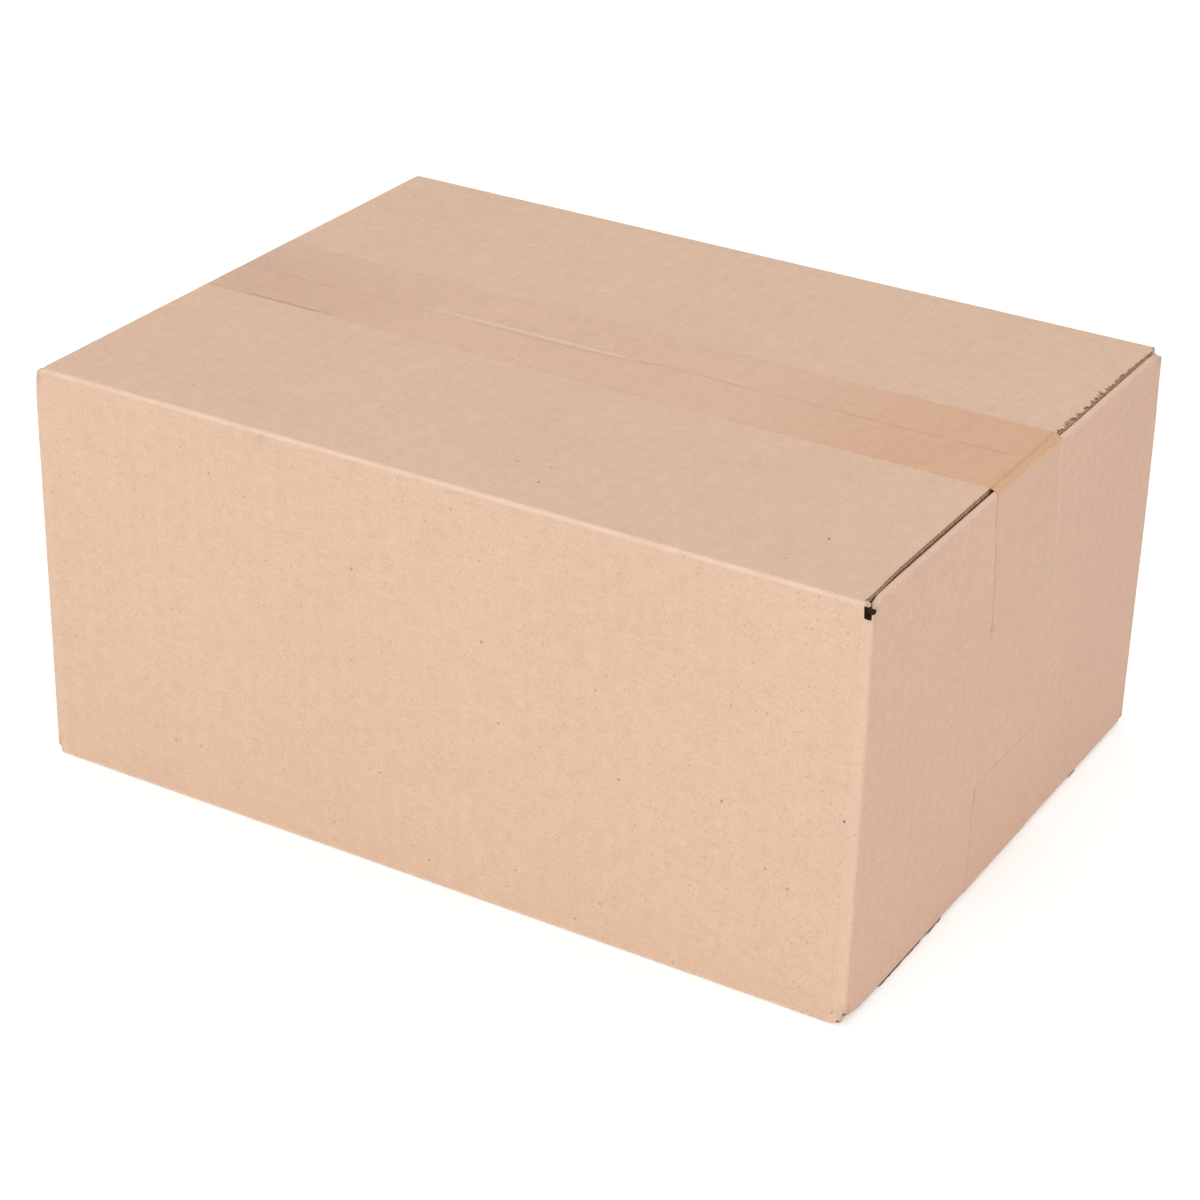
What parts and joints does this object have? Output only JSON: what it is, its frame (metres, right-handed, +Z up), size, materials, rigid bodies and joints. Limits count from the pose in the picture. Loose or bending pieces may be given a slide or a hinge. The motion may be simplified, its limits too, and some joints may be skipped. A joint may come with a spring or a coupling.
{
  "type": "closed cardboard box",
  "caption": "Corrugated shipping carton, closed and sealed along its top and bottom seams with clear brown packing tape.",
  "frame": {"origin": "middle of the underside, on the surface that the carton stands on", "axes": "+X along the length and the taped seam, +Y across the width towards the back, +Z up"},
  "size_m": [0.3002, 0.219, 0.1432],
  "materials": {
    "kraft_board": "matte",
    "packing_tape": "satin"
  },
  "bodies": {
    "root": {"carton": "kraft_board", "top_tape": "packing_tape", "bottom_tape": "packing_tape"}
  },
  "joints": []
}
